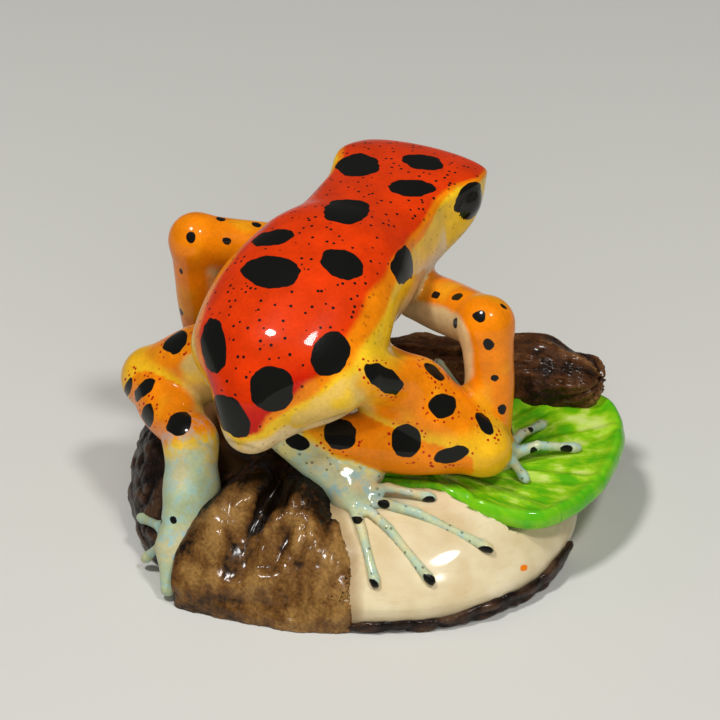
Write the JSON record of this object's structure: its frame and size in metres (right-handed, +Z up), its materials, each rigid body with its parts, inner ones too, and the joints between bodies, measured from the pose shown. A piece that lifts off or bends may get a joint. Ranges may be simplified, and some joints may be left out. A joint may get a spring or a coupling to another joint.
{
  "type": "frog figurine",
  "caption": "Small varnished tree frog crouching on a carved nut base with bark lumps and a green leaf; rests on its flat underside as an ornament",
  "frame": {"origin": "centre of the flat underside of the nut base, on the surface it stands on", "axes": "+Z up; the frog looks along -Y; its left side is +X"},
  "size_m": [0.05, 0.0481, 0.0338],
  "materials": {
    "nut_ivory": "gloss",
    "nut_skin": "satin",
    "bark": "gloss",
    "leaf_green": "gloss",
    "frog_red": "gloss",
    "frog_orange": "gloss",
    "frog_pale": "gloss",
    "eye_black": "gloss"
  },
  "bodies": {
    "root": {"nut_core": "nut_ivory", "nut_skin_rim": "nut_skin", "nut_skin_side": "nut_skin", "bark_lobe": "bark", "bark_ridge": "bark", "leaf": "leaf_green", "torso": "frog_red", "head": "frog_red", "left_eye": "eye_black", "right_eye": "eye_black", "left_upper_arm": "frog_orange", "left_forearm": "frog_orange", "left_thigh": "frog_orange", "left_shank": "frog_orange", "left_hand": "frog_pale", "left_foot": "frog_pale", "right_upper_arm": "frog_orange", "right_forearm": "frog_orange", "right_thigh": "frog_orange", "right_shank": "frog_orange", "right_hand": "frog_pale", "right_foot": "frog_pale"}
  },
  "joints": []
}
